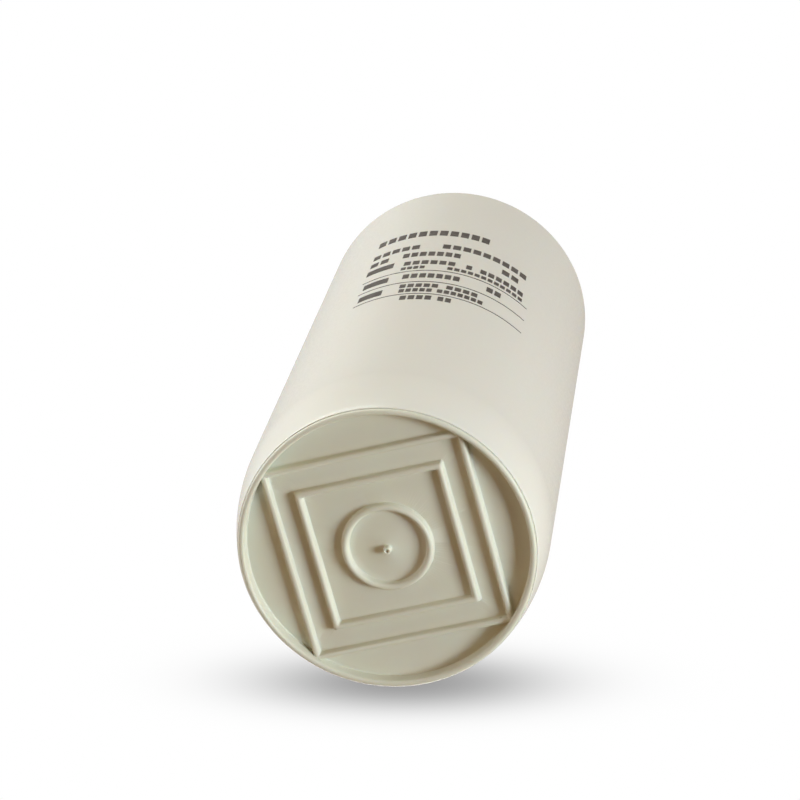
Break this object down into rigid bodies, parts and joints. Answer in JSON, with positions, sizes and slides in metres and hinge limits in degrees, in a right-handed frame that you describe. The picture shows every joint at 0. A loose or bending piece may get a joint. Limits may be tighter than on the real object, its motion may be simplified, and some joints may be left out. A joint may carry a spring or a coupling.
{
  "type": "motor run capacitor",
  "caption": "Round plastic-cased motor run capacitor: glossy case, ribbed base cap with a raised rim, and a lid with upright double-blade terminals.",
  "frame": {"origin": "middle of the base cap's rim, in the plane it stands on", "axes": "+Z along the case's axis from the base towards the terminals; the terminals are spread along X; the printed marking faces -Y"},
  "size_m": [0.04, 0.04, 0.1019],
  "materials": {
    "case_plastic": "glossy off-white moulded plastic",
    "cap_plastic": "satin beige moulded plastic",
    "tinned_brass": "tin-plated brass sheet",
    "nickel": "nickel-plated brass",
    "copper": "bare copper wire",
    "red_insulation": "satin",
    "black_insulation": "satin",
    "solder": "bright solder",
    "metallised_film": "metallised polypropylene film, silvery",
    "core_plastic": "white moulded plastic",
    "zinc": "matte sprayed zinc",
    "wrap_film": "clear yellowish film wrap",
    "pressboard": "smooth insulating pressboard",
    "resin": "dark cast resin",
    "ink": "matte printing ink"
  },
  "bodies": {
    "root": {"case": "case_plastic", "base_cap": "cap_plastic", "terminal_lid": "case_plastic", "terminal_left": "tinned_brass", "terminal_right": "tinned_brass", "rivet_left": "nickel", "rivet_right": "nickel", "solder_lug_left": "tinned_brass", "solder_lug_right": "tinned_brass", "long_lead": "copper", "long_lead_insulation": "red_insulation", "short_lead": "copper", "short_lead_insulation": "black_insulation", "solder_spot_lower": "solder", "solder_spot_upper": "solder", "winding": "metallised_film", "winding_core": "core_plastic", "zinc_end_lower": "zinc", "zinc_end_upper": "zinc", "element_wrap": "wrap_film", "lower_spacer": "pressboard", "upper_insulating_disc": "pressboard", "resin_fill": "resin", "printed_marking": "ink"}
  },
  "joints": []
}
